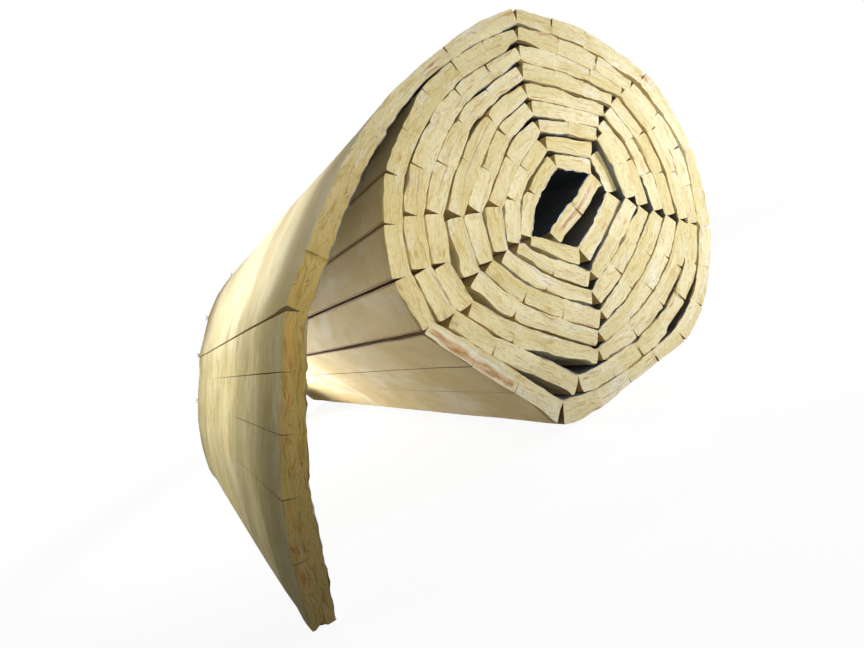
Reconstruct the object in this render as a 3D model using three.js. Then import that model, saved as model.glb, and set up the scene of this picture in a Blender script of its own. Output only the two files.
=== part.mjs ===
// Roll of slit mineral-wool mat, 1 m wide, with a thin metal facing on its inner side.
// The mat is cut across from its outer side at a regular spacing, and the cuts open into
// V notches where it bends. It is wound loosely: its inner end lies free in the hollow
// and its outer end comes off the top and hangs to the floor as a flap.
// Units are millimetres. X runs across the roll, Y along its axis and Z up, and a
// Vector2 holds a point of the roll's section, its x as X and its y as Z.
import * as THREE from 'three';

// driving dimensions
const matWidth = 1000;
const woolThickness = 20;
const facingThickness = 0.3;
const glueGap = 0.3;
const turnGap = 0.4;
const slitSpacing = 50;
const slitKerf = 0.8;
const slitWeb = 7;
const tornWeb = 1.5;
const turnCount = 8;
const looseEndLength = 92;

// How far the roll and the tip of its flap are pressed flat where they lie on the floor
const floorSquash = 4;

// A rolled stretch is shorter on its facing side than the flat mat, where the facing puckers.
const rolledShare = 0.94;

// Folds up to the easy one leave the whole web under a slit. From the tearing one on,
// the wool is torn down to the torn web.
const easyFold = THREE.MathUtils.degToRad(12);
const tearingFold = THREE.MathUtils.degToRad(45);

// The way each block of the flap points, from the top of the roll down. A longer flap
// keeps the last one, and it ends where it reaches the floor.
const flapHeadings = [183, 190, 197, 203.5, 211, 216, 221, 222, 238, 239, 244.5, 252, 255.5];

// The loose inner end lies across the hollow, from its tip to the sharp fold where the
// first turn begins.
const looseTip = new THREE.Vector2(86.7, 182.5);
const looseHeading = 22;

// The roll's section goes round these lines. A line starts at the hollow, and its place
// there is given along the loose end, as a share of its length, and across it. The line
// says how far it has come by the two reached turns, in turn pitches across and up. A
// turn that folds off its line has a slip, in turn pitches. On a sharp line every turn
// folds at a slit, and between sharp lines it bends evenly.
const reachedTurns = [3.5, 7];
const foldLines = [
  { start: [0.701, 36], reached: [[0, 3.32], [1.08, 6.39]], sharp: true },
  { start: [0.463, 35.1], reached: [[-1.5, 2.95], [-3.05, 5.9]] },
  { start: [0.341, 34.2], reached: [[-2.8, 1.85], [-6.57, 3.71]] },
  {
    start: [0.22, 33.3],
    reached: [[-4.1, 0.7], [-7.65, 1.72]],
    sharp: true,
    slips: { 5: [0.22, 0.2], 6: [0.2, 0.25] },
  },
  { start: [0.004, 24.1], reached: [[-3.85, 0.15], [-7.7, 0.1]] },
  {
    start: [-0.216, 14],
    reached: [[-3.2, -0.1], [-6.95, -1.05]],
    sharp: true,
    slips: { 5: [0.1, -0.85], 6: [0.08, -0.5] },
  },
  { start: [-0.034, -11.1], reached: [[-2.95, -1.7], [-6.2, -3.35]] },
  {
    start: [0.135, -36.8],
    reached: [[-0.85, -3.8], [-5.15, -6]],
    sharp: true,
    slips: { 1: [-0.2, 0], 2: [-0.4, 0.1], 5: [0.6, -0.12] },
  },
  { start: [0.353, -35.2], reached: [[-0.7, -3.85], [-3.35, -7.2]] },
  { start: [0.591, -34.4], reached: [[0.1, -3.9], [0.1, -7.75]] },
  { start: [0.809, -32.8], reached: [[1.55, -3.25], [1.7, -7.85]] },
  { start: [0.92, -31.5], reached: [[2.3, -2.85], [3.75, -6.65]] },
  { start: [1.011, -29.5], reached: [[2.8, -2.45], [5.55, -4.4]], sharp: true },
  { start: [1.087, -9.6], reached: [[3.25, -0.15], [6.7, -0.7]] },
  { start: [1.186, 10.4], reached: [[2.4, 1.85], [5.45, 2.25]], sharp: true },
  { start: [1.052, 30.5], reached: [[0.95, 2.65], [3.6, 4.8]] },
];

const wool = new THREE.MeshStandardMaterial({ color: 0xd9cfa2, roughness: 0.95, metalness: 0 });
const foil = new THREE.MeshStandardMaterial({ color: 0x8d9196, roughness: 0.35, metalness: 0.9 });

const facingClearance = glueGap + facingThickness + turnGap;
const turnPitch = woolThickness + facingClearance;

const stepFrom = (point, heading, length) => new THREE.Vector2(
  point.x + Math.cos(heading) * length,
  point.y + Math.sin(heading) * length,
);

// Where a turn folds round a line, which is a parabola through its three places and then
// goes straight on, a pitch each turn
function foldPoint({ start: [share, across], reached, slips = {} }, turn) {
  const [nearTurn, farTurn] = reachedTurns;
  const [nearRate, farRate] = reached.map((place, i) => (
    new THREE.Vector2(...place).divideScalar(reachedTurns[i])));
  const bend = farRate.clone().sub(nearRate).divideScalar(farTurn - nearTurn);
  const bent = Math.min(turn, farTurn);
  const rate = farRate.clone().addScaledVector(bend, bent - farTurn);
  const onwards = farRate.clone().addScaledVector(bend, farTurn).normalize();
  const come = rate.multiplyScalar(bent)
    .addScaledVector(onwards, turn - bent)
    .add(new THREE.Vector2(...slips[turn] ?? [0, 0]));

  const heading = THREE.MathUtils.degToRad(looseHeading);
  const beside = stepFrom(looseTip, heading, share * looseEndLength);
  return stepFrom(beside, heading + Math.PI / 2, across).addScaledVector(come, turnPitch);
}

// Every slit of the wound mat on its facing side, from the inner end to the top of the
// roll. The mat runs anticlockwise on its way out, seen with X to the right and Z up.
function windMat() {
  const heading = THREE.MathUtils.degToRad(looseHeading);
  const looseBlocks = Math.max(1, Math.round(looseEndLength / slitSpacing));
  const slits = Array.from({ length: looseBlocks + 1 }, (_, i) => (
    stepFrom(looseTip, heading, looseEndLength * i / looseBlocks)));

  let stretch = [slits.at(-1)];
  for (let step = 0; step <= turnCount * foldLines.length; step += 1) {
    const line = foldLines[step % foldLines.length];
    stretch.push(foldPoint(line, Math.floor(step / foldLines.length)));
    if (line.sharp) {
      const curve = new THREE.SplineCurve(stretch);
      const blocks = Math.max(1, Math.round(curve.getLength() / (slitSpacing * rolledShare)));
      slits.push(...curve.getSpacedPoints(blocks).slice(1));
      stretch = [stretch.at(-1)];
    }
  }
  return slits;
}

// The blocks between the slits: each with its heading and its outward side
function blocksBetween(slits) {
  return slits.slice(1).map((end, i) => {
    const along = end.clone().sub(slits[i]).normalize();
    return { start: slits[i], end, along, outward: new THREE.Vector2(along.y, -along.x) };
  });
}

// How far the wool can reach outward from a point before it is too near the next turn
function roomOutward(point, outward, laterBlocks) {
  let room = woolThickness;
  for (const { start, end } of laterBlocks) {
    const side = end.clone().sub(start);
    const spread = outward.cross(side);
    const toStart = start.clone().sub(point);
    const distance = toStart.cross(side) / spread;
    const share = toStart.cross(outward) / spread;
    if (distance > 0 && share >= 0 && share <= 1) {
      room = Math.min(room, distance - facingClearance * side.length() / Math.abs(spread));
    }
  }
  return room;
}

// The wool's outline. Its outer side steps in at each slit, which widens with the fold,
// and it is squeezed where the next turn leaves less room than its thickness.
function woolOutline(blocks) {
  const reach = (point, outward, index, full) => {
    const room = roomOutward(point, outward, blocks.slice(index + 2));
    return point.clone().addScaledVector(outward, Math.min(full, room));
  };
  const first = blocks[0];
  const last = blocks.at(-1);
  const inner = [...blocks.map((block) => block.start), last.end];
  const outer = [reach(first.start, first.outward, 0, woolThickness)];
  for (let i = 1; i < blocks.length; i += 1) {
    const [before, after] = [blocks[i - 1], blocks[i]];
    const fold = Math.acos(THREE.MathUtils.clamp(before.along.dot(after.along), -1, 1));
    const tear = THREE.MathUtils.smoothstep(fold, easyFold, tearingFold);
    const web = THREE.MathUtils.lerp(slitWeb, tornWeb, tear);
    const middle = before.outward.clone().add(after.outward).normalize();
    const root = reach(after.start, middle, i, web);
    const depth = woolThickness - web * Math.cos(fold / 2);
    const mouthBefore = reach(root, before.outward, i, depth);
    const mouthAfter = reach(root, after.outward, i, depth);
    outer.push(
      mouthBefore.addScaledVector(before.along, -slitKerf / 2),
      root,
      mouthAfter.addScaledVector(after.along, slitKerf / 2),
    );
  }
  outer.push(last.end.clone().addScaledVector(last.outward, woolThickness));
  return [...inner, ...outer.reverse()];
}

// The mat's facing side, set off towards the hollow with mitred folds
function insetLine(blocks, inset) {
  const ends = [blocks[0], ...blocks];
  return [...blocks, blocks.at(-1)].map((after, i) => {
    const before = ends[i];
    const middle = before.outward.clone().add(after.outward).normalize();
    const corner = i < blocks.length ? after.start : after.end;
    return corner.clone().addScaledVector(middle, -inset / middle.dot(after.outward));
  });
}

function facingOutline(blocks) {
  const glued = insetLine(blocks, glueGap);
  return [...insetLine(blocks, glueGap + facingThickness), ...glued.reverse()];
}

// The centre of an outline's area
function areaCentre(outline) {
  const centre = new THREE.Vector2();
  let area = 0;
  outline.forEach((point, i) => {
    const next = outline[(i + 1) % outline.length];
    const cross = point.cross(next);
    area += cross / 2;
    centre.addScaledVector(point, cross / 6).addScaledVector(next, cross / 6);
  });
  return centre.divideScalar(area);
}

// The floor that the wound roll lies on. Its lean is that of the edge of the section's
// hull, followed from the flap's side, that passes under the centre of its weight.
function floorUnder(outline) {
  const centre = areaCentre(outline);
  const slope = (from, to) => Math.atan2(to.y - from.y, to.x - from.x);
  let from = outline.reduce((left, point) => (point.x < left.x ? point : left));
  for (;;) {
    const to = outline.filter((point) => point.x > from.x).reduce((best, point) => (
      slope(from, point) < slope(from, best) ? point : best));
    if (to.x > centre.x) return { point: from, lean: slope(from, to) };
    from = to;
  }
}

// The same point as the floor sees it: level, with its height over the floor as y, once
// what touches the floor is pressed flat
function overFloor(point, floor) {
  const level = point.clone().sub(floor.point).rotateAround(new THREE.Vector2(), -floor.lean);
  return level.setY(level.y - floorSquash);
}

// The slits of the flap, from the top of the roll to its tip, which presses on the floor.
// A rest shorter than half a block goes into the last one.
function hangFlap(top, floor) {
  const slits = [];
  for (let from = top, i = 0; ; i += 1) {
    const heading = THREE.MathUtils.degToRad(flapHeadings[i] ?? flapHeadings.at(-1));
    const fall = Math.sin(floor.lean - heading);
    const reach = (overFloor(from, floor).y + floorSquash) / fall;
    const isLast = fall > 0 && reach < slitSpacing * 1.5;
    from = stepFrom(from, heading, isLast ? reach : slitSpacing);
    slits.push(from);
    if (isLast) return slits;
  }
}

// Lays the outlines on the floor, with the origin on it under the middle of the roll
function layOnFloor(outlines, floor) {
  const laid = outlines.map((outline) => outline.map((point) => overFloor(point, floor)));
  const middle = new THREE.Box2().setFromPoints(laid.flat()).getCenter(new THREE.Vector2());
  return laid.map((outline) => outline.map((point) => (
    new THREE.Vector2(point.x - middle.x, Math.max(point.y, 0)))));
}

function extrudeAlongAxis(name, outline, material) {
  const geometry = new THREE.ExtrudeGeometry(new THREE.Shape(outline), {
    depth: matWidth,
    bevelEnabled: false,
  });
  const mesh = new THREE.Mesh(geometry, material);
  mesh.name = name;
  mesh.rotation.x = Math.PI / 2;
  mesh.position.y = matWidth / 2;
  return mesh;
}

const woundSlits = windMat();
const floor = floorUnder(woolOutline(blocksBetween(woundSlits)));
const blocks = blocksBetween([...woundSlits, ...hangFlap(woundSlits.at(-1), floor)]);
const [woolSection, facingSection] = layOnFloor(
  [woolOutline(blocks), facingOutline(blocks)],
  floor,
);

const roll = new THREE.Group();
roll.name = 'insulation_roll';
roll.add(
  extrudeAlongAxis('wool_mat', woolSection, wool),
  extrudeAlongAxis('foil_facing', facingSection, foil),
);

export default roll;
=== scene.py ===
"""A loosely wound roll of slit mineral-wool mat with a foil facing on its inner side.

Metres. X runs across the roll, Y along its axis and Z up. The mat is modelled flat: its
length runs along X, its width along Y, and its depth goes down from the facing at Z 0.
It is then wound onto the section that the frame gives. Blocks and slits are counted from
the inner end."""
import math

import bmesh
import bpy
import numpy as np
from mathutils import Matrix, Vector


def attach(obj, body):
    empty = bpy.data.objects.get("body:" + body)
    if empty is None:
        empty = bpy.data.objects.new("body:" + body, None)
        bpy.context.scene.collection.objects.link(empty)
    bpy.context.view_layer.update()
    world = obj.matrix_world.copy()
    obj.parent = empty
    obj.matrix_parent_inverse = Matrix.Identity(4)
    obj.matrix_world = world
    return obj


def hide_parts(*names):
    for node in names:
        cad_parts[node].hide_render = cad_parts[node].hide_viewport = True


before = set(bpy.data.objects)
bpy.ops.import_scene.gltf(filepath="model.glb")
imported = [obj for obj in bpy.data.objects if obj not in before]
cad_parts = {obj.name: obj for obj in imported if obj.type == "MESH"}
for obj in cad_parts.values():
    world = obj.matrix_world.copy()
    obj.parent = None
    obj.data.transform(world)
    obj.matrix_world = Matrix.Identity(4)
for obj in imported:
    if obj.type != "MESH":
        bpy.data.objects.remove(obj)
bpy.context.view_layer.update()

# The flat mat
BLOCK = 0.05            # from slit to slit
WOOL = 0.02             # depth of the wool
WEB = 0.007             # wool left under a slit
KERF = 0.0006           # width of a slit's saw cut
FACING = 0.0003         # thickness of the foil
GLUE = 0.0003           # between the wool and the foil
HALF_WIDTH = 0.5
EDGE = 0.002            # strip along the mat's cut ends whose edge is bitten
FLAP_BLOCKS = 13        # blocks of the outer end, which hangs free
FOLD_DOWN = 8           # blocks from the flap's start to the slit where it folds down
ROUNDING = 1e-6         # two places closer than this are the same

# Where a block has its columns, as shares of its length, and the mat its layers, as
# shares of its depth
COLUMNS = (0.0, 0.05, 0.13, 0.22, 0.32, 0.42, 0.52, 0.62, 0.71, 0.8, 0.88, 0.95, 1.0)
LAYERS = (0.0, WEB / WOOL, 0.6, 0.86, 1.0)
# How far each row of the mat is from the nearer end
ROWS = (0.0, EDGE, 0.006, 0.013, 0.027, 0.055, 0.11, 0.2, 0.32)

# Degrees of fold at a slit: below the first the mat keeps its heading, past the second it
# creases
SOFT_FOLD, CREASED_FOLD = 13, 24
# Degrees of fold past which a notch starts to stand open, and where it is torn wide
SHUT_FOLD, TORN_FOLD = 9, 21
TORN_SHARE = 0.63
# Slits whose notch is shut by a share of its own, and slits whose notch flares by one
SHUT_NOTCHES = {1: 0.9, 114: 0.72, 115: 0.92, 118: 0.35}
FLARED_NOTCHES = {114: 0.35, 115: 0.28, 116: 0.3, 117: 0.3, 118: 0.0}
# Slits of the flap, counted from the tip, that show as a hairline: how far from the near end
HAIRLINES = {4: 0.62, 3: 0.38, 2: 0.27}

# Room to the next turn at which a side lies tight against it, or hangs loose
TIGHT, LOOSE = 0.002, 0.012
AIR = 0.00075           # left between turns that nearly touch
FILLING = 0.0028        # the most that a side swells towards the next turn

# How uneven the wool is
FACING_DENTS = 0.0028   # the deepest dents of the facing side where it lies tight
OUTER_DENTS = 0.0024    # and of the outer side
WAVES = 0.0011          # of the facing side where it hangs loose
RIPPLES = 0.0007
SWELLING = 0.0006       # of the outer side where it hangs loose
SHORT_BITES = 0.0010    # out of the edge of a cut end
LONG_BITES = 0.0006
OUT_OF_LINE = 0.0005    # the most that a block stands in or out along its depth
WORN_CORNERS = 0.0006   # off a block's corners at an open notch
TORN_TIP = 0.0026       # off the tip of the flap, on the whole
TORN_TEETH = 0.0042
STAND_OUT = 0.0012      # the most that a block's end stands out of the roll's end
DRIFT = 0.003           # of the roll's end from turn to turn
SAWN = 0.0006           # roughness of a cut end

# The facing's edge from the wool's cut end: between turns, and where it is free
FOIL_TIGHT, FOIL_FREE = -0.0050, -0.0002
FOIL_RAGGED = 0.0014
FOIL_MOST = 0.0012      # the furthest that it stands out

# Places where a turn stands off the one inside it: block, half length in blocks, depth
HOLLOWS = ((127.0, 1.8, 0.0064), (123.4, 1.0, 0.0022), (133.0, 0.6, 0.0025), (107.0, 0.5, 0.002),
           (84.2, 0.5, 0.002), (97.5, 0.8, 0.002))
# Places where the outer side stands proud, or sinks in: block, half length in blocks, height
SWELLS = ((118.15, 0.9, 0.0070), (135.4, 3.0, -0.0048), (126.5, 2.5, 0.0028), (123.0, 1.8, 0.003),
          (129.5, 2.5, 0.0012), (145.3, 2.2, 0.0025), (8.45, 0.8, 0.0095), (17.6, 1.0, 0.002))
# Places where both sides are moved outwards together
SHIFTS = ((129.0, 2.8, 0.0052), (124.8, 3.0, 0.0012))
# Places where the facing side of the flap stands inwards
BULGES = ((144.2, 2.6, 0.0036),)
# How far the top of the flap bellies out
BELLY = 0.0215

# Streaks of scorched binder: blocks from and to, depth of its middle, half its width, strength
SCORCHES = (
    (0.3, 1.7, 0.012, 0.0030, 0.9), (114.45, 115.0, 0.014, 0.003, 0.7),
    (115.05, 117.5, 0.0145, 0.0042, 1.0), (117.5, 117.9, 0.012, 0.0012, 0.6),
    (126.2, 127.2, 0.008, 0.001, 0.5), (135.3, 135.75, 0.010, 0.0022, 0.8),
    (141.1, 142.9, 0.0135, 0.0011, 0.9), (143.2, 144.0, 0.013, 0.0008, 0.7),
    (144.1, 145.6, 0.015, 0.0016, 0.9), (51.1, 51.9, 0.005, 0.0012, 0.5),
    (90.1, 90.9, 0.004, 0.002, 0.8), (100.1, 100.6, 0.009, 0.0015, 0.7),
    (93.0, 93.9, 0.015, 0.001, 0.4), (49.1, 50.5, 0.010, 0.0012, 0.5),
    (67.2, 68.4, 0.010, 0.001, 0.5), (13.2, 14.4, 0.012, 0.001, 0.5),
    (119.0, 121.0, 0.013, 0.001, 0.6), (88.0, 88.8, 0.010, 0.001, 0.6))

# Tufts of loose fibre: slit, place across the mat, how far they lean out past it, strands
TUFTS = ((141, 0.497, 0.3, 9), (139.2, 0.498, 0.5, 8), (143, 0.498, 0.4, 5), (137, 0.496, 0.6, 4))
STRAND_ROOT, STRAND_TIP = 0.0011, 0.0001    # a strand's radius at its two ends
STRAND_LENGTHS = 0.009, 0.016
STRAND_BEND = 0.0018
STRAND_SPREAD = 0.55    # how far strands lean apart
STRAND_SCATTER = 0.002

SMOOTH_BELOW = math.radians(38)

# The lamps: where each stands, what it points at, its size, power, spread and colour
LAMPS = {
    "key": ((0.77, -1.16, 0.23), (0.27, -0.5, 0.13), 0.3, 4.4, 130, (0.93, 0.99, 1.22)),
    "front": ((-0.28, -1.12, 0.29), (0.21, -0.5, 0.22), 0.1, 0.26, 56, (1.0, 0.98, 0.88)),
    "mouth": ((-0.38, -1.22, 0.20), (-0.18, -0.45, 0.26), 0.12, 0.105, 36, (1.0, 0.89, 0.58)),
    "side": ((-1.05, 0.48, 0.95), (-0.26, 0.16, 0.30), 0.4, 2.0, 56, (1.0, 1.0, 1.02)),
    "pool": ((-0.85, -0.17, 1.05), (-0.17, -0.19, 0.38), 0.2, 0.57, 40, (0.97, 1.0, 1.08)),
    "through": ((-0.20, 0.52, 0.09), (-0.14, -0.2, 0.15), 0.12, 1.6, 60, (1.0, 0.98, 0.9)),
    "back": ((1.1, 1.7, 0.9), (0.1, 0.4, 0.2), 0.8, 22, 180, (1, 1, 1))}

# The camera: where it stands, and the ways that its right side and its front face
CAMERA_PLACE = (-0.33154, -0.9758, 0.23668)
CAMERA_RIGHT = (0.77984, -0.43387, -0.45127)
CAMERA_FRONT = (0.42589, 0.89603, -0.1255)
LENS = 23.75            # millimetres, as is the sensor
SENSOR_WIDTH = 36

FLOOR_RADIUS = 14
FLOOR_DROP = 0.0005     # the floor lies this far under the roll


# ------------------------------------------------------------------ numbers and noise

LATTICE = 4096
PRIMES = (73856093, 19349663, 83492791)


def ease(low, high, x):
    """0 below low, 1 above high, and smooth between."""
    t = np.clip((np.asarray(x, float) - low) / (high - low), 0, 1)
    return t * t * (3 - 2 * t)


def blend(a, b, share):
    return a + (b - a) * share


def unit(rows):
    return rows / np.linalg.norm(rows, axis=-1, keepdims=True)


def column(values):
    return np.asarray(values, float)[..., None]


def wander(seed, *places):
    """Smooth seeded noise from -1 to 1, with a lattice step of 1 along each place."""
    table = np.random.default_rng(seed).uniform(-1, 1, LATTICE)
    places = np.broadcast_arrays(*[np.asarray(p, float) for p in places])
    cells = [np.floor(p).astype(np.int64) for p in places]
    fades = [ease(0, 1, p - c) for p, c in zip(places, cells)]
    total = 0.0
    for corner in np.ndindex(*(2,) * len(places)):
        key, weight = 0, 1.0
        for step, cell, fade, prime in zip(corner, cells, fades, PRIMES):
            key = key ^ ((cell + step) * prime)
            weight = weight * (fade if step else 1 - fade)
        total = total + weight * table[key & (LATTICE - 1)]
    return total


# ------------------------------------------------------------------ the wound section

def end_outline(node):
    """The outline of a node's near end, in order round it, as rows of X and Z."""
    shell = bmesh.new()
    shell.from_mesh(node.data)
    bmesh.ops.remove_doubles(shell, verts=shell.verts, dist=ROUNDING)
    near = min(v.co.y for v in shell.verts) + 10 * ROUNDING
    cap = {f for f in shell.faces if all(v.co.y < near for v in f.verts)}
    following = {}
    for face in cap:
        for loop in face.loops:
            if any(other not in cap for other in loop.edge.link_faces):
                following[loop.vert] = loop.link_loop_next.vert
    at = next(iter(following))
    outline = []
    for _ in following:
        outline.append((at.co.x, at.co.z))
        at = following[at]
    shell.free()
    return np.array(outline)


class Section:
    """The wound mat from its side: the facing line, and the outer side of each block.

    The outline has four points for each block: one on the facing, the two corners of its
    outer side and the root of the slit after it."""

    def __init__(self, outline):
        self.count = count = len(outline) // 4
        self.read(outline)
        self.along = unit(np.diff(self.facing, axis=0))
        for i, side in ((0, self.first[0]), (-1, self.last[-1])):
            self.root[i] = blend(self.facing[i], side, WEB / WOOL)
        turn = np.sum(self.along[1:] * self.along[:-1], axis=1)
        fold = np.degrees(np.arccos(np.clip(turn, -1, 1)))
        self.fold = np.concatenate([[90], fold, [90]])
        self.round_off()

    def read(self, outline):
        """Takes the outline apart, from the tip of the flap on the floor, facing first."""
        near_floor = WOOL / 2
        low = np.flatnonzero(outline[:, 1] < near_floor)
        tip = low[np.argmin(outline[low, 0])]
        beside = [(tip + way) % len(outline) for way in (-1, 1)]
        way = -1 if outline[beside[0], 1] < outline[beside[1], 1] else 1
        rolled = outline[(tip + way * np.arange(len(outline) + 1)) % len(outline)]
        self.facing = rolled[1:self.count + 2][::-1]
        outer = rolled[self.count + 2:]
        self.first = np.concatenate([outer[:1], outer[3::3]])
        self.last = outer[1::3]
        self.root = np.concatenate([self.facing[:1], outer[2::3], self.facing[-1:]])

    def round_off(self):
        """The heading of the mat over each slit, which it keeps where it hardly folds."""
        soft = 1 - ease(SOFT_FOLD, CREASED_FOLD, self.fold)
        before = self.along[np.r_[0, 0:self.count]]
        after = self.along[np.r_[0:self.count, self.count - 1]]
        over = unit(before + after)
        self.off_slit = np.stack([over[:, 1], -over[:, 0]], axis=1)
        self.leaving = unit(blend(after, over, column(soft)))[:-1]
        self.arriving = unit(blend(before, over, column(soft)))[1:]

    def curve(self, start, end, block, u):
        """A side of a block, which leaves and arrives along the mat's heading."""
        chord = end - start
        length = np.linalg.norm(chord, axis=1, keepdims=True)
        leave = self.leaving[block] * length - chord
        arrive = self.arriving[block] * length - chord
        u = column(u)
        return start + chord * u + u * (1 - u) * ((1 - u) * leave - u * arrive)


section = Section(end_outline(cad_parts["wool_mat"]))
FLAP = section.count - FLAP_BLOCKS
TOP_NOTCH = FLAP + FOLD_DOWN


# ------------------------------------------------------------------ the flat mat

def start_modelling(obj):
    bpy.ops.object.select_all(action="DESELECT")
    bpy.context.view_layer.objects.active = obj
    obj.select_set(True)


def vertex_places(mesh):
    places = np.empty(len(mesh.vertices) * 3)
    mesh.vertices.foreach_get("co", places)
    return places.reshape(-1, 3)


def set_places(mesh, places):
    mesh.vertices.foreach_set("co", np.asarray(places, float).ravel())
    mesh.update()


def open_slits(mesh, layer, at_slit):
    """Splits the mat's section along its slits, and sets their sides half a cut apart."""
    bpy.ops.object.mode_set(mode="EDIT")
    bpy.ops.mesh.select_mode(type="EDGE")
    bpy.ops.mesh.select_all(action="DESELECT")
    bpy.ops.object.mode_set(mode="OBJECT")
    for edge in mesh.edges:
        a, b = edge.vertices
        edge.select = bool(at_slit[a] and at_slit[b] and layer[a] >= 1 and layer[b] >= 1)
    bpy.ops.object.mode_set(mode="EDIT")
    bpy.ops.mesh.edge_split(type="EDGE")
    bpy.ops.object.mode_set(mode="OBJECT")

    places = vertex_places(mesh)
    middle = np.zeros(len(places))
    faces = np.zeros(len(places))
    for polygon in mesh.polygons:
        for v in polygon.vertices:
            middle[v] += polygon.center[0]
            faces[v] += 1
    side = middle / faces - places[:, 0]
    slit = np.rint(places[:, 0] / BLOCK)
    close = 0.0001
    cut = np.abs(places[:, 0] - slit * BLOCK) < close
    cut &= places[:, 2] < -WEB - 10 * ROUNDING
    cut &= (slit > 0) & (slit < section.count)
    places[cut, 0] += np.sign(side[cut]) * KERF / 2
    set_places(mesh, places)


def flat_mat(blocks):
    """The flat mat: a grid of its section, slit, and then drawn out row by row."""
    across = len(COLUMNS) - 1
    layers = len(LAYERS) - 1
    bpy.ops.object.select_all(action="DESELECT")
    bpy.ops.mesh.primitive_grid_add(
        x_subdivisions=blocks * across, y_subdivisions=layers, size=2)
    mat = bpy.context.object
    mat.name = "wool_mat_wound"
    mesh = mat.data
    places = vertex_places(mesh)
    step = np.rint((places[:, 0] + 1) / 2 * blocks * across).astype(int)
    layer = np.rint((places[:, 1] + 1) / 2 * layers).astype(int)
    block, part = np.divmod(step, across)
    places[:, 0] = (block + np.array(COLUMNS)[part]) * BLOCK
    places[:, 1] = -HALF_WIDTH
    places[:, 2] = -np.array(LAYERS)[layer] * WOOL
    set_places(mesh, places)
    open_slits(mesh, layer, (part == 0) & (block > 0) & (block < blocks))

    rows = [-HALF_WIDTH + r for r in ROWS]
    rows += [-y for y in rows[::-1]]
    bpy.ops.object.mode_set(mode="EDIT")
    bpy.ops.mesh.select_all(action="SELECT")
    for before, after in zip(rows, rows[1:]):
        bpy.ops.mesh.extrude_region_move(
            TRANSFORM_OT_translate={"value": (0, after - before, 0)})
    bpy.ops.mesh.select_all(action="SELECT")
    bpy.ops.mesh.normals_make_consistent(inside=False)
    bpy.ops.object.mode_set(mode="OBJECT")
    return mat


# ------------------------------------------------------------------ winding

def free_room(section):
    """How far each block's facing side and outer side are from the next turn."""
    neighbours = 3
    out_of_reach = 1

    def gap(points, starts, ends, near):
        side = ends - starts
        t = np.einsum("pk,sk->ps", points, side) - np.sum(starts * side, axis=1)
        t = np.clip(t / np.sum(side * side, axis=1), 0, 1)
        spot = starts + t[..., None] * side
        far = np.linalg.norm(points[:, None] - spot, axis=2)
        far[near] = out_of_reach
        return far.min(axis=1)

    blocks = np.arange(section.count)
    near = np.abs(blocks[:, None] - blocks) < neighbours
    inner, outer = [], []
    for share in COLUMNS:
        at = blend(section.facing[:-1], section.facing[1:], share)
        inner.append(gap(at, section.first, section.last, near))
        at = blend(section.first, section.last, share)
        outer.append(gap(at, section.facing[:-1], section.facing[1:], near))
    return np.stack(inner, axis=1), np.stack(outer, axis=1)


def notches(section):
    """How far each slit's notch is drawn shut, and how far a shut one flares at its mouth."""
    before_flap = slice(FLAP - 8, FLAP)
    shut = 1 - TORN_SHARE * ease(SHUT_FOLD, TORN_FOLD, section.fold)
    for slit, share in SHUT_NOTCHES.items():
        shut[slit] = share
    shut[before_flap] = np.maximum(shut[before_flap], 0.55)
    shut[FLAP + 1:] = 1
    shut[TOP_NOTCH] = 0.2
    shut[[0, -1]] = 0
    flare = np.random.default_rng(5).uniform(0.1, 0.8, section.count + 1)
    flare[FLAP:] = 0.0
    for slit, share in FLARED_NOTCHES.items():
        flare[slit] = share
    return shut, flare


inner_room, outer_room = free_room(section)
shut, flare = notches(section)


def kerf_left(slit, y):
    """Half of the width that is left of a slit's saw cut, which closes on the flap."""
    past_far_end = 4 * HALF_WIDTH
    reach = np.full(section.count + 1, past_far_end)
    reach[FLAP + 1:] = 2 * EDGE
    reach[TOP_NOTCH] = past_far_end
    for from_tip, far in HAIRLINES.items():
        reach[section.count - from_tip] = far
    wide = np.full(section.count + 1, KERF / 2)
    wide[FLAP + 1:TOP_NOTCH] = KERF / 5
    wide[section.count - 4:] = KERF * 0.8
    return wide[slit] * (1 - ease(0.45, 1.0, (y + HALF_WIDTH) / reach[slit]))


def in_blocks(s):
    """The slit nearest to each point, the block that it is in, and its share along it."""
    slit = np.rint(s / BLOCK).astype(int)
    beside = s - slit * BLOCK
    on_slit = np.abs(beside) < KERF
    block = np.floor(s / BLOCK + ROUNDING).astype(int)
    block = np.where(on_slit & (beside < -ROUNDING), slit - 1, block)
    block = np.where(on_slit & (beside > -ROUNDING), slit, block)
    block = np.clip(block, 0, section.count - 1)
    u = np.where(on_slit, np.where(slit > block, 1.0, 0.0), s / BLOCK - block)
    return slit, block, u


def near_to(s, at, half):
    """1 at a place along the mat, and 0 past so many blocks on either side."""
    return ease(0, 1, 1 - np.abs(s / BLOCK - at) / half)


def raised(s, places):
    """What a list of places adds along the mat."""
    return sum(high * near_to(s, at, half) for at, half, high in places)


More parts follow.
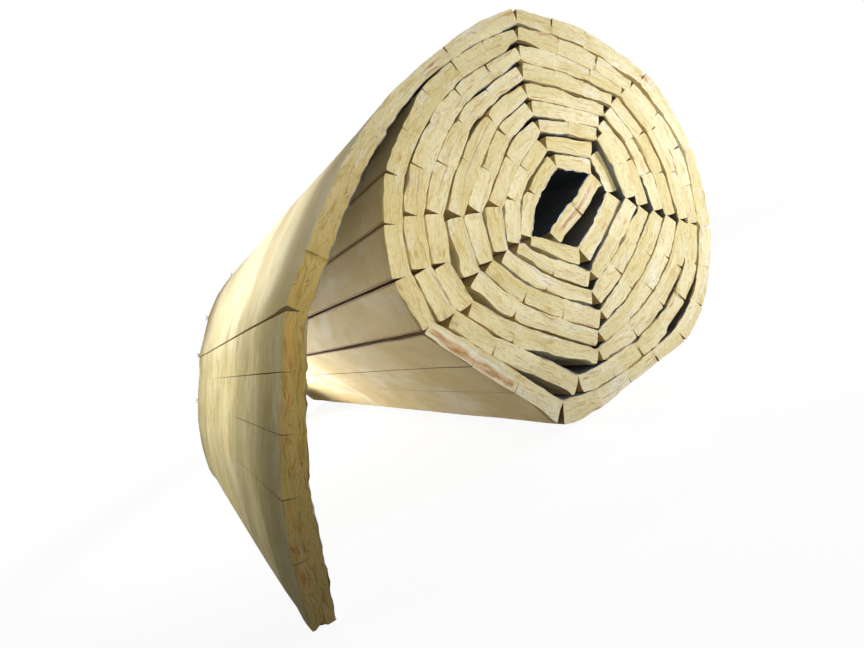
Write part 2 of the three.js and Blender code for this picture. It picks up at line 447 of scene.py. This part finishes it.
def outer_corners(slit, block, y, above):
    """The two outer corners of each point's block, by how its notches stand."""
    def drawn(which, own, other):
        """A corner at a slit, drawn towards the one across its notch."""
        middle = (own + other) / 2
        ragged = 1 + 0.2 * wander(11, which * 7.3, y / 0.03)
        share = ((1 - shut[which]) + shut[which] * flare[which] * above ** 3) * ragged
        wide_near_end = blend(1.25, 0.55, ease(0.0, 0.1, y + HALF_WIDTH))
        share = share * np.where(which == TOP_NOTCH, wide_near_end, 1.0)
        return middle + (own - middle) * column(share)

    end_block = section.count - 1
    before = section.last[np.clip(block - 1, 0, end_block)]
    after = section.first[np.clip(block + 1, 0, end_block)]
    first = section.first[block]
    last = section.last[block]
    first = np.where(column(block == 0) > 0, first, drawn(block, first, before))
    last = np.where(column(block == end_block) > 0, last, drawn(block + 1, last, after))
    ragged = 1 + 0.6 * wander(12, slit * 3.7, y / 0.015)
    first = first + section.along[block] * column(kerf_left(block, y) * ragged)
    last = last - section.along[block] * column(kerf_left(block + 1, y) * ragged)
    return first, last


def dents(seed, s, y, long, short):
    """1 in scattered places where a side is pressed thin, and 0 between them."""
    uneven = wander(seed, s / long, y / 0.2) + 0.35 * wander(seed + 1, s / short, y / 0.06)
    return ease(0.3, 0.95, uneven)


def bites(seed, long_seed, s):
    """How far the edge of a cut end is bitten in along the mat."""
    short = ease(-0.3, 1, wander(seed, s / 0.008))
    return SHORT_BITES * short + LONG_BITES * wander(long_seed, s / 0.02)


def unevenness(s, y, block, u):
    """How far each side of the wool is pressed in, or swells out where it has room."""
    part = np.argmin(np.abs(column(u) - np.array(COLUMNS)), axis=1)
    out_room = outer_room[block, part]
    loose_in = ease(TIGHT, LOOSE, inner_room[block, part])
    loose_out = ease(TIGHT, LOOSE, out_room)
    end = 1 - ease(0, EDGE, HALF_WIDTH - np.abs(y))

    wave = WAVES * wander(23, s / 0.009, y / 0.04) + RIPPLES * wander(24, s / 0.004, y / 0.02)
    lift = blend(FACING_DENTS * dents(21, s, y, 0.05, 0.012), wave, loose_in)
    sink = OUTER_DENTS * dents(25, s, y, 0.06, 0.014)
    sink = sink - np.clip(out_room - AIR, 0, FILLING) * (1 - ease(0.004, 0.008, out_room))
    sink = blend(sink, SWELLING * wander(27, s / 0.025, y / 0.03), loose_out)
    lift = lift + end * bites(28, 61, s)
    sink = sink + end * bites(29, 62, s)

    # a block stands a little in or out of line, and its corner at an open notch is worn
    step = np.random.default_rng(6).uniform(-OUT_OF_LINE, OUT_OF_LINE, (2, section.count))
    step[:, FLAP + 1:] = 0
    lift = lift + step[0][block] * (1 - loose_in) + np.abs(step[0][block]) * loose_in
    sink = sink + step[1][block]
    corner = COLUMNS[1]
    worn = np.exp(-u / corner) * (1 - shut[block])
    worn = worn + np.exp(-(1 - u) / corner) * (1 - shut[block + 1])
    return lift, sink + WORN_CORNERS * worn


def belly(s, y):
    """How far the top of the flap bellies out, most of all towards its far end."""
    down = s / BLOCK - FLAP
    top = ease(0.5, 4.5, down) * (1 - ease(5, 9, down))
    return BELLY * top * (0.45 * ease(-0.5, -0.1, y) + 0.55 * ease(-0.1, 0.5, y))


def winding(s, y, depth):
    """Where points of the flat mat come when it is wound, as rows of X and Z."""
    slit, block, u = in_blocks(s)
    v = depth / WOOL
    web = WEB / WOOL
    above = np.clip((v - web) / (1 - web), 0, 1)
    first, last = outer_corners(slit, block, y, above)
    start, stop = section.facing[block], section.facing[block + 1]
    inner = section.curve(start, stop, block, u)
    outer = section.curve(first, last, block, u)
    place = blend(inner, outer, column(v))

    def side(foot, root, top):
        """Off the straight line from foot to top, by way of the slit's root."""
        low = blend(foot, root, column(np.clip(v / web, 0, 1)))
        bent = np.where(column(v) <= web + ROUNDING, low, blend(root, top, column(above)))
        return bent - blend(foot, top, column(v))

    left = side(start, section.root[block], first)
    right = side(stop, section.root[block + 1], last)
    torn = (TORN_TIP + TORN_TEETH * wander(13, v * 7.3, y / 0.006)) * ease(0, 0.3, v)
    right -= section.along[block] * column(np.where(block == section.count - 1, torn, 0))
    place += left * column((1 - u) ** 3) + right * column(u ** 3)

    lift, sink = unevenness(s, y, block, u)
    place += unit(outer - inner) * column((1 - v) ** 2 * lift - v ** 2 * sink)

    off = unit(blend(section.off_slit[block], section.off_slit[block + 1], column(u)))
    rise_in = raised(s, HOLLOWS) * (1 - 0.3 * ease(0, 0.4, y + HALF_WIDTH)) - raised(s, BULGES)
    shift = belly(s, y) + raised(s, SHIFTS)
    place += off * column(shift + (1 - v) ** 2 * rise_in + v ** 2 * raised(s, SWELLS))
    return place


def wind(mat):
    """Winds the flat mat, and notes on its vertices where they were in it."""
    mesh = mat.data
    flat = vertex_places(mesh)
    s, y, depth = flat[:, 0], flat[:, 1], -flat[:, 2]
    note = mesh.attributes.new("mat_place", "FLOAT_VECTOR", "POINT")
    note.data.foreach_set("vector", np.stack([s, y, depth], axis=1).ravel())
    place = winding(s, y, depth)
    block = np.clip((s / BLOCK - ROUNDING * np.sign(s)).astype(int), 0, section.count - 1)

    # the blocks' ends stand a little in and out of line, and their cut is uneven
    rng = np.random.default_rng(31)
    for way in (-1, 1):
        stand = rng.uniform(-STAND_OUT, STAND_OUT, section.count)
        drift = DRIFT * wander(32 + way, s / 0.45)
        cut = SAWN * wander(34 + way, s / 0.011, depth / 0.005)
        near = 1 - ease(0, 0.08, HALF_WIDTH - way * y)
        y = y + near * (stand[block] + drift + cut)
    wound = np.stack([place[:, 0], y, np.maximum(place[:, 1], 0)], axis=1)
    set_places(mesh, wound)


def note_faces(mat):
    """Notes what each face of the flat mat is: its end, its outer side or a cut."""
    mesh = mat.data
    count = len(mesh.polygons)
    normal = np.empty(count * 3)
    mesh.polygons.foreach_get("normal", normal)
    x, y, z = np.abs(normal.reshape(-1, 3)).T
    facing_it = 0.7
    kinds = np.stack([y > facing_it, z > facing_it, x > facing_it], axis=1)
    note = mesh.attributes.new("face_kind", "FLOAT_VECTOR", "FACE")
    note.data.foreach_set("vector", kinds.astype(float).ravel())


def note_scorches(mat):
    """Notes the scorched streak along the mat: its depth, half its width and its strength."""
    mesh = mat.data
    s = vertex_places(mesh)[:, 0] / BLOCK
    margin = 0.6
    rows = np.zeros((len(s), 3))
    for start, stop, middle, half, strength in SCORCHES:
        here = (s > start - margin) & (s < stop + margin)
        rows[here, 0] = middle
        rows[here, 1] = half
        fade = ease(start - 0.1, start + 0.15, s) * (1 - ease(stop - 0.15, stop + 0.1, s))
        rows[here, 2] = (strength * fade)[here]
    note = mesh.attributes.new("scorch", "FLOAT_VECTOR", "POINT")
    note.data.foreach_set("vector", rows.ravel())


# ------------------------------------------------------------------ the facing

def mat_notes(mesh):
    """Where each vertex was in the flat mat: along it, across it and in its depth."""
    note = np.empty(len(mesh.vertices) * 3)
    mesh.attributes["mat_place"].data.foreach_get("vector", note)
    return note.reshape(-1, 3).T


def ragged_ends(foil):
    """Draws the facing back from the wool's cut ends, and out a little where it is free."""
    places = vertex_places(foil.data)
    s, y, _ = mat_notes(foil.data)
    block = np.clip((s / BLOCK).astype(int), 0, section.count - 1)
    free = ease(0.002, 0.01, inner_room[block].max(axis=1))
    for way in (-1, 1):
        near_end = 1 - ease(0, 0.03, HALF_WIDTH - way * y)
        out = blend(FOIL_TIGHT, FOIL_FREE, free) + FOIL_RAGGED * wander(40 + way, s / 0.008)
        places[:, 1] += way * near_end * np.minimum(out, FOIL_MOST)
    set_places(foil.data, places)


def foil_from(mat):
    """The facing: the mat's facing side copied, set off by the glue and given a thickness."""
    mesh = mat.data
    on_facing = mat_notes(mesh)[2] < ROUNDING
    start_modelling(mat)
    bpy.ops.object.mode_set(mode="EDIT")
    bpy.ops.mesh.select_mode(type="FACE")
    bpy.ops.mesh.select_all(action="DESELECT")
    bpy.ops.object.mode_set(mode="OBJECT")
    for polygon in mesh.polygons:
        polygon.select = all(on_facing[v] for v in polygon.vertices)
    bpy.ops.object.mode_set(mode="EDIT")
    bpy.ops.mesh.duplicate()
    bpy.ops.mesh.separate(type="SELECTED")
    bpy.ops.object.mode_set(mode="OBJECT")
    foil = next(o for o in bpy.context.selected_objects if o != mat)
    foil.name = "foil_facing_sheet"
    ragged_ends(foil)
    start_modelling(foil)
    bpy.ops.object.mode_set(mode="EDIT")
    bpy.ops.mesh.select_all(action="SELECT")
    bpy.ops.transform.shrink_fatten(value=GLUE)
    bpy.ops.object.mode_set(mode="OBJECT")
    wall = foil.modifiers.new("thickness", "SOLIDIFY")
    wall.thickness = FACING
    wall.offset = 1
    bpy.ops.object.modifier_apply(modifier=wall.name)
    places = vertex_places(foil.data)
    places[:, 2] = np.maximum(places[:, 2], 0)
    set_places(foil.data, places)
    return foil


# ------------------------------------------------------------------ loose fibre

def loose_tufts():
    """Small tufts of loose fibre at the corners of the flap's slits: bent, pointed strands."""
    rng = np.random.default_rng(51)
    bpy.ops.object.select_all(action="DESELECT")
    strands = []
    for slit, y, out_of, count in TUFTS:
        s = np.array([slit * BLOCK - 0.002])
        skin, root = (winding(s, np.array([y]), np.array([d]))[0] for d in (WOOL, WOOL - 0.004))
        outward = Vector((*(skin - root), 0)).normalized()
        outward = Vector((outward[0], out_of, outward[1])).normalized()
        root = Vector((root[0], y, root[1]))
        for _ in range(count):
            way = outward + Vector(rng.uniform(-STRAND_SPREAD, STRAND_SPREAD, 3))
            way.normalize()
            long = rng.uniform(*STRAND_LENGTHS)
            scatter = Vector(rng.uniform(-STRAND_SCATTER, STRAND_SCATTER, 3))
            bpy.ops.mesh.primitive_cone_add(
                vertices=5, radius1=STRAND_ROOT, radius2=STRAND_TIP, depth=long,
                location=root + way * (long / 2) + scatter,
                rotation=way.to_track_quat("Z", "Y").to_euler())
            strands.append(bpy.context.object)
    for strand in strands:
        strand.select_set(True)
    bpy.ops.object.join()
    tufts = bpy.context.object
    tufts.name = "loose_wool_tufts"
    bpy.ops.object.transform_apply(location=True, rotation=True, scale=True)
    bpy.ops.object.mode_set(mode="EDIT")
    bpy.ops.mesh.select_all(action="SELECT")
    bpy.ops.mesh.subdivide(number_cuts=2)
    bpy.ops.object.mode_set(mode="OBJECT")
    places = vertex_places(tufts.data)
    x, y, z = (places / 0.006).T
    bend = np.stack([wander(52 + i, x, y, z) for i in range(3)], axis=1)
    set_places(tufts.data, places + STRAND_BEND * bend)
    return tufts


# ------------------------------------------------------------------ shader maths

class Number:
    """A socket that carries a number, so that shader maths reads as arithmetic."""

    def __init__(self, finish, socket):
        self.finish = finish
        self.socket = socket

    def maths(self, operation, *values, clamp=False):
        settings = {"operation": operation, "use_clamp": clamp}
        made = self.finish.node("ShaderNodeMath", settings, dict(enumerate(values)))
        return Number(self.finish, made.outputs[0])

    def __add__(self, other):
        return self.maths("ADD", self, other)

    def __radd__(self, other):
        return self.maths("ADD", other, self)

    def __sub__(self, other):
        return self.maths("SUBTRACT", self, other)

    def __rsub__(self, other):
        return self.maths("SUBTRACT", other, self)

    def __mul__(self, other):
        return self.maths("MULTIPLY", self, other)

    def __rmul__(self, other):
        return self.maths("MULTIPLY", other, self)

    def __truediv__(self, other):
        return self.maths("DIVIDE", self, other)

    def __rtruediv__(self, other):
        return self.maths("DIVIDE", other, self)

    def __abs__(self):
        return self.maths("ABSOLUTE", self)

    def clamped(self):
        return self.maths("ADD", self, 0.0, clamp=True)

    def whole(self):
        return self.maths("FLOOR", self)

    def sine(self):
        return self.maths("SINE", self)

    def ramp(self, low, high, to_low=0.0, to_high=1.0):
        """From to_low at low to to_high at high, smooth between and held beyond."""
        made = self.finish.node(
            "ShaderNodeMapRange", {"interpolation_type": "SMOOTHSTEP"},
            {"Value": self, "From Min": low, "From Max": high,
             "To Min": to_low, "To Max": to_high})
        return Number(self.finish, made.outputs["Result"])


class Finish:
    """A material, or the world, and its nodes."""

    def __init__(self, name, world=None):
        self.material = world or bpy.data.materials.new(name)
        self.material.use_nodes = True
        self.tree = self.material.node_tree
        self.tree.nodes.clear()

    def node(self, kind, settings=None, inputs=None):
        """A node of a kind, with its settings, then its inputs as values or links."""
        made = self.tree.nodes.new(kind)
        for name, value in (settings or {}).items():
            setattr(made, name, value)
        for name, value in (inputs or {}).items():
            socket = made.inputs[name]
            source = getattr(value, "socket", value)
            if isinstance(source, bpy.types.NodeSocket):
                self.tree.links.new(source, socket)
            elif isinstance(value, tuple) and len(value) == 3 and socket.type == "RGBA":
                socket.default_value = (*value, 1)
            else:
                socket.default_value = value
        return made

    def number(self, socket):
        return Number(self, socket)

    def attribute(self, name):
        """The three parts of a vector that the mesh carries."""
        source = self.node("ShaderNodeAttribute", {"attribute_name": name})
        parts = self.node("ShaderNodeSeparateXYZ", None, {0: source.outputs["Vector"]})
        return [self.number(parts.outputs[i]) for i in range(3)]

    def vector(self, x, y, z):
        return self.node("ShaderNodeCombineXYZ", None, {0: x, 1: y, 2: z}).outputs[0]

    def object_place(self):
        return self.node("ShaderNodeTexCoord").outputs["Object"]

    def noise(self, place, scale=1.0, detail=2.0, roughness=0.5, distortion=0.0):
        made = self.node(
            "ShaderNodeTexNoise", {"noise_dimensions": "3D"},
            {"Vector": place, "Scale": scale, "Detail": detail,
             "Roughness": roughness, "Distortion": distortion})
        return self.number(made.outputs["Fac"])

    def mix(self, share, a, b):
        """Two colours mixed by a share."""
        made = self.node("ShaderNodeMix", {"data_type": "RGBA"}, {0: share, 6: a, 7: b})
        return made.outputs[2]

    def bump(self, height, distance, strength):
        inputs = {"Strength": strength, "Distance": distance, "Height": height}
        return self.node("ShaderNodeBump", None, inputs).outputs[0]

    def background_rays(self):
        """1 for the rays that show what is behind the object, and 0 for those that light it."""
        ray = self.node("ShaderNodeLightPath")
        seen = self.number(ray.outputs["Is Camera Ray"])
        seen = seen + self.number(ray.outputs["Is Glossy Ray"])
        return (seen + self.number(ray.outputs["Is Transmission Ray"])).clamped()

    def surface(self, inputs):
        shader = self.node("ShaderNodeBsdfPrincipled", None, inputs)
        self.node("ShaderNodeOutputMaterial", None, {"Surface": shader.outputs[0]})
        return self.material


# ------------------------------------------------------------------ finishes

def linear(red, green, blue):
    """A colour given as it looks on screen, from 0 to 255, as light."""
    def one(value):
        value /= 255
        return value / 12.92 if value <= 0.04045 else ((value + 0.055) / 1.055) ** 2.4
    return one(red), one(green), one(blue)


# The wool, from pale to dark
PALE = linear(240, 234, 212)
CREAM = linear(240, 227, 178)
STRAW = linear(220, 202, 138)
TAUPE = linear(212, 181, 116)
HONEY = linear(202, 172, 98)
OLIVE = linear(176, 162, 106)
MOSS = linear(150, 135, 76)
TAN = linear(156, 130, 82)
WEATHERED_AND_SHADED = linear(160, 134, 60)
BROWN = linear(134, 102, 54)
UMBER = linear(96, 68, 36)
# Scorched binder
RUST = linear(186, 124, 58)
OCHRE = linear(196, 138, 56)
CHAR = linear(148, 96, 40)
# Loose fibre and foil
FIBRE = linear(186, 160, 104)
DARK_FIBRE = linear(142, 112, 64)
FOIL = linear(134, 137, 142)
DULL_FOIL = linear(108, 111, 117)

# The wool scatters light evenly, with hardly a shine
WOOL_ROUGHNESS = 0.95
WOOL_SPECULAR = 0.12

RIBS = 1350                     # radians of rib in a metre: the ribs are 4.7 mm apart
OUTER_TURN = (110.0, 113.0)     # blocks over which the outermost turn begins
LAST_SHADED_SLIT = 115.5            # past the last of its slits that stand open, whose edges get painted shade
# Bands across the flap near its near end, the nearer painted shade and the other a darker streak:
# place across the mat, wavering, strength
SHADE_AND_STREAK_BANDS = ((-0.43, 0.06, 0.55), (-0.24, 0.1, 0.35))


def tuft_finish():
    f = Finish("loose_fibre")
    place = f.object_place()
    shade = f.noise(place, scale=420).ramp(0.35, 0.65)
    hairs = f.noise(place, scale=1800, detail=1.0)
    return f.surface({"Base Color": f.mix(shade, FIBRE, DARK_FIBRE),
                      "Roughness": WOOL_ROUGHNESS, "Specular IOR Level": WOOL_SPECULAR,
                      "Normal": f.bump(hairs, 0.0004, 0.6)})


def on_flap(along):
    """1 on the flap, and 0 on the roll."""
    return along.ramp(FLAP - 2.0, FLAP + 1.0)


def outer_turn(along):
    """1 on the outermost turn and the flap, and 0 on the turns inside."""
    return along.ramp(*OUTER_TURN)


def end_look(f, s, y, depth):
    """The colour and height of the mat's cut ends: thin wavering layers of fibre."""
    along = s / BLOCK
    flap = on_flap(along)
    # the lower flap's end faces turn olive-brown: partly weather-worn wool, partly painted shade
    # for the dim light there
    aged_and_shaded = along.ramp(FLAP + 3.0, FLAP + 9.0)

    # each block has a tone of its own
    tone = f.noise(f.vector(along.whole() * 3.7, 0.3, 0.7), detail=0.0).ramp(0.34, 0.66)
    tone = tone + (0.5 - tone) * (0.2 + flap * 0.7)
    batch = f.noise(f.vector(s * 9, y * 2.5, depth * 60)).ramp(0.36, 0.64)

    warp = f.noise(f.vector(s * 22, y * 8, depth * 60))
    swirl = f.noise(f.vector(s * 75, y * 25, depth * 150))
    layer = depth * 260 + warp * 4.2 + swirl * 1.6
    grain = f.noise(f.vector(s * 34, y * 20, layer), detail=3.0, roughness=0.6)
    fine = f.noise(f.vector(s * 150, y * 90, layer * 2.6), roughness=0.6)
    speck = f.noise(f.vector(s * 260, y * 240, depth * 430), detail=1.0)
    patch = f.noise(f.vector(s * 26 + 4, y * 14, depth * 95))
    crease = f.noise(f.vector(s * 40, y * 18, depth * 170), detail=1.0, distortion=0.7)
    strand = abs(crease - 0.5).ramp(0.022, 0.0) * patch.ramp(0.42, 0.58)
    fleck = f.noise(f.vector(s * 30 + 9, y * 12, layer * 0.7), detail=1.0)

    colour = f.mix(batch * 0.55 + tone * 0.4, CREAM, STRAW)
    colour = f.mix(patch.ramp(0.52, 0.7) * (0.65 - tone * 0.35), colour, PALE)
    colour = f.mix(grain.ramp(0.5, 0.66) * (0.42 + tone * 0.28), colour, HONEY)
    colour = f.mix(fine.ramp(0.5, 0.7) * 0.4, colour, HONEY)
    colour = f.mix(fine.ramp(0.48, 0.3) * 0.3, colour, CREAM)
    colour = f.mix(speck.ramp(0.62, 0.76) * 0.28, colour, BROWN)
    colour = f.mix(strand * 0.3, colour, BROWN)
    colour = f.mix(fleck.ramp(0.63, 0.75) * 0.6, colour, RUST)
    # painted shade mixed with weather-worn colour: the lower flap's end faces darken to
    # olive-brown
    colour = f.mix(aged_and_shaded * 0.85, colour, WEATHERED_AND_SHADED)
    colour = f.mix(aged_and_shaded * (grain.ramp(0.5, 0.62) * 0.4 + strand * 0.75), colour, BROWN)

    # a scorched streak runs along a few blocks, with paler wool beside it
    scorch_depth, scorch_half, scorched = f.attribute("scorch")
    off = abs(depth - scorch_depth + (warp - 0.5) * 0.009 + (swirl - 0.5) * 0.003)
    off = off / (scorch_half + 0.0001)
    mottle = f.noise(f.vector(s * 70, y * 40, depth * 230))
    beside = scorched * off.ramp(2.6, 1.2) * (0.5 - aged_and_shaded * 0.4)
    streak = scorched * off.ramp(1.25, 0.35) * mottle.ramp(0.26, 0.44)
    broken = grain.ramp(0.36, 0.56, 0.6, 1.0)
    colour = f.mix(beside.clamped(), colour, f.mix(aged_and_shaded * 0.7, PALE, STRAW))
    colour = f.mix(streak.clamped() * broken * 0.76, colour, OCHRE)
    colour = f.mix((streak * mottle.ramp(0.48, 0.62)).clamped() * 0.5, colour, CHAR)
    return colour, grain * 0.6 + fine * 0.45 + speck * 0.25


def side_look(f, s, y, depth):
    """The colour and height of the mat's outer side: fibres combed into ribs along it.

    It is browner on the roll, partly as painted warm bounce light, and pale and weather-worn on
    the flap, with a painted highlight on the flap's top and painted shade in bands near its near
    end and at its far edge."""
    along = s / BLOCK
    block = along.whole()
    flap = on_flap(along)
    hung = along.ramp(TOP_NOTCH - 2.0, TOP_NOTCH + 1.0)

    lean = f.noise(f.vector(s * 3, y * 5, 1.0), detail=1.0)
    worn = f.noise(f.vector(s * 7 + 3, y * 9, 8.0)).ramp(0.34, 0.6)
    jog = f.noise(f.vector(block * 2.3, y * 24, 3.0), detail=1.0)
    rib = (y * RIBS + lean * 26 + jog * 6).sine().ramp(-0.3, 1.0) * worn * (1 - flap * 0.6)
    hair = f.noise(f.vector(s * 22, y * 420, depth * 30), roughness=0.6)
    blotch = f.noise(f.vector(s * 15, y * 7, 4.0), detail=3.0, roughness=0.6, distortion=0.4)
    dab = f.noise(f.vector(s * 36, y * 28, 6.0), distortion=0.5)
    smudge = f.noise(f.vector(s * 5, y * 6, 9.0))

    colour = f.mix(smudge.ramp(0.38, 0.66) * (1 - flap * 0.3), CREAM, STRAW)
    # the roll's outer side, seen in the hollow under the flap, is browner and warmer: partly its
    # own tone, partly painted warm bounce light
    colour = f.mix((1 - flap) * 0.6, colour, TAUPE)
    colour = f.mix(hung * smudge.ramp(0.72, 0.38) * 0.85, colour, OLIVE)
    colour = f.mix(blotch.ramp(0.5, 0.34) * (0.5 - flap * 0.28), colour, PALE)
    colour = f.mix(blotch.ramp(0.53, 0.68) * (0.55 - flap * 0.33), colour, HONEY)
    colour = f.mix(dab.ramp(0.5, 0.75) * (0.4 - flap * 0.15), colour, HONEY)

    # streaks, damp patches and flecks, most of all below the flap's fold
    upper = flap * (1 - hung)
    lower = flap * (hung * 0.75 + 0.25)
    drape = f.noise(f.vector(s * 13, y * 55, 2.0), detail=3.0, roughness=0.65)
    damp = f.noise(f.vector(s * 11 + 2, y * 16, 5.0), detail=3.0, roughness=0.6)
    fleck = f.noise(f.vector(s * 42, y * 150, 7.0))
    colour = f.mix(hung * drape.ramp(0.5, 0.7) * 0.3, colour, TAN)
    colour = f.mix(hung * drape.ramp(0.47, 0.34) * 0.16, colour, PALE)
    # painted highlight: the flap's top, above the fold, is painted paler where the light falls on
    # it
    colour = f.mix(upper * 0.28, colour, PALE)
    colour = f.mix(lower * damp.ramp(0.5, 0.64) * 0.5, colour, MOSS)
    colour = f.mix(lower * fleck.ramp(0.56, 0.7) * 0.5, colour, MOSS)
    colour = f.mix(lower * fleck.ramp(0.43, 0.3) * 0.3, colour, PALE)

    # painted shade: the nearer band darkens the flap by its near end; the further one is a darker
    # streak
    shade_and_streak = 0.0
    for at, waver, strength in SHADE_AND_STREAK_BANDS:
        band = abs(y - at + (lean - 0.5) * waver).ramp(0.07, 0.01)
        shade_and_streak = band * strength + shade_and_streak
    colour = f.mix(flap * shade_and_streak, colour, f.mix(hung, TAN, MOSS))
    # painted shade: the far edge of the flap's top darkens brown where its surface turns away
    # from the light
    colour = f.mix(upper * y.ramp(0.24, 0.48) * 0.8, colour, BROWN)
    colour = f.mix(rib * 0.34, colour, TAN)
    colour = f.mix(hair.ramp(0.5, 0.75) * 0.3, colour, HONEY)

    # painted shade: the edges of the open slits under the flap darken brown where the slits'
    # shade falls
    shaded_lips = abs(along - block - 0.5).ramp(0.44, 0.48)
    open_ones = outer_turn(along) * along.ramp(LAST_SHADED_SLIT + 0.2, LAST_SHADED_SLIT - 0.2)
    colour = f.mix(shaded_lips * open_ones * 0.65, colour, CHAR)
    return colour, rib * 0.4 + hair * 0.6 + blotch * 0.4


def cut_look(f, s, depth):
    """The colour of a slit's sides, which darken towards its root and on the outer turn: partly
    the torn wool's own brown, partly painted shade in the slit.
    """
    along = s / BLOCK
    colour = f.mix(depth.ramp(0.006, 0.014), BROWN, HONEY)
    return f.mix(outer_turn(along) * (0.75 - on_flap(along) * 0.35), colour, UMBER)


def wool_finish():
    f = Finish("mineral_wool")
    s, y, depth = f.attribute("mat_place")
    is_end, _, is_cut = f.attribute("face_kind")
    end_colour, end_height = end_look(f, s, y, depth)
    side_colour, side_height = side_look(f, s, y, depth)
    colour = f.mix(is_end, f.mix(is_cut, side_colour, cut_look(f, s, depth)), end_colour)
    fuzz = f.noise(f.vector(s * 1000, y * 1000, depth * 1000), detail=1.0)
    height = side_height + (end_height - side_height) * is_end + fuzz * (0.3 - is_end * 0.1)
    return f.surface({"Base Color": colour, "Normal": f.bump(height, 0.0014, 0.8),
                      "Roughness": WOOL_ROUGHNESS, "Specular IOR Level": WOOL_SPECULAR,
                      "Sheen Weight": 0.1, "Sheen Roughness": 0.6})


def foil_finish():
    f = Finish("aluminium_foil")
    s, y, _ = f.attribute("mat_place")
    crease = f.noise(f.vector(s * 55, y * 20, 0.0), detail=4.0, roughness=0.6, distortion=0.8)
    fold = f.noise(f.vector(s * 240, y * 14, 2.0), detail=3.0, roughness=0.6)
    smear = f.noise(f.vector(s * 4, y * 4, 5.0), detail=3.0)
    return f.surface({"Base Color": f.mix(smear, DULL_FOIL, FOIL), "Metallic": 1.0,
                      "Roughness": smear.ramp(0.3, 0.7, 0.38, 0.52),
                      "Normal": f.bump(crease + fold * 0.4, 0.0012, 0.6)})


# ------------------------------------------------------------------ making the pieces

def give_finish(piece, material):
    piece.data.materials.clear()
    piece.data.materials.append(material)


wool = flat_mat(section.count)
note_faces(wool)
note_scorches(wool)
wind(wool)
start_modelling(wool)
bpy.ops.object.shade_smooth_by_angle(angle=SMOOTH_BELOW)
foil = foil_from(wool)
start_modelling(foil)
bpy.ops.object.shade_smooth_by_angle(angle=SMOOTH_BELOW)
tufts = loose_tufts()

give_finish(wool, wool_finish())
give_finish(foil, foil_finish())
give_finish(tufts, tuft_finish())
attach(tufts, "root")

for piece, node, slot in ((wool, "wool_mat", "wool"), (foil, "foil_facing", "foil")):
    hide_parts(node)
    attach(piece, "root")


# ------------------------------------------------------------------ floor, light, camera

def stage_floor():
    bpy.ops.object.select_all(action="DESELECT")
    bpy.ops.mesh.primitive_circle_add(
        vertices=96, radius=FLOOR_RADIUS, fill_type="NGON", location=(0, 0, -FLOOR_DROP))
    floor = bpy.context.object
    floor.name = "studio_floor"
    f = Finish("pale_floor")
    plain = f.node("ShaderNodeBsdfDiffuse", None, {"Color": (0.45, 0.44, 0.42)})
    shaded = f.node("ShaderNodeBsdfDiffuse", None, {"Color": (0.15, 0.15, 0.15)})
    away = f.node("ShaderNodeVectorMath", {"operation": "LENGTH"}, {0: f.object_place()})
    white = f.number(away.outputs["Value"]).ramp(0.6, 1.8, 0.92, 1.0)
    bright = f.node("ShaderNodeEmission", None, {"Color": white, "Strength": 1.0})
    both = f.node("ShaderNodeAddShader", None, {0: shaded.outputs[0], 1: bright.outputs[0]})
    surface = f.node("ShaderNodeMixShader", None,
                     {0: f.background_rays(), 1: plain.outputs[0], 2: both.outputs[0]})
    f.node("ShaderNodeOutputMaterial", None, {"Surface": surface.outputs[0]})
    floor.data.materials.append(f.material)


def studio_world():
    world = bpy.data.worlds.new("studio")
    bpy.context.scene.world = world
    f = Finish("studio", world)
    light = f.node("ShaderNodeBackground", None, {"Color": (1.0, 0.97, 0.9), "Strength": 0.06})
    white = f.node("ShaderNodeBackground", None, {"Color": (1.0, 1.0, 1.0), "Strength": 1.0})
    sky = f.node("ShaderNodeMixShader", None,
                 {0: f.background_rays(), 1: light.outputs[0], 2: white.outputs[0]})
    f.node("ShaderNodeOutputWorld", None, {"Surface": sky.outputs[0]})


def area_light(name, at, towards, size, power, spread, colour):
    data = bpy.data.lights.new(name, "AREA")
    data.shape = "DISK"
    data.size = size
    data.energy = power
    data.color = colour
    data.spread = math.radians(spread)
    lamp = bpy.data.objects.new(name, data)
    lamp.location = at
    lamp.visible_camera = False
    lamp.rotation_euler = (Vector(towards) - Vector(at)).to_track_quat("-Z", "Y").to_euler()
    bpy.context.scene.collection.objects.link(lamp)


def stage_camera():
    data = bpy.data.cameras.new("camera")
    data.lens = LENS
    data.sensor_width = SENSOR_WIDTH
    data.clip_start = 0.01
    camera = bpy.data.objects.new("camera", data)
    front = Vector(CAMERA_FRONT).normalized()
    up = Vector(CAMERA_RIGHT).normalized().cross(front).normalized()
    right = front.cross(up).normalized()
    turn = Matrix((right, up, -front)).transposed().to_4x4()
    camera.matrix_world = Matrix.Translation(CAMERA_PLACE) @ turn
    bpy.context.scene.collection.objects.link(camera)
    bpy.context.scene.camera = camera


stage_floor()
studio_world()
for name, settings in LAMPS.items():
    area_light(name, *settings)
stage_camera()
bpy.context.scene.view_settings.view_transform = "Standard"
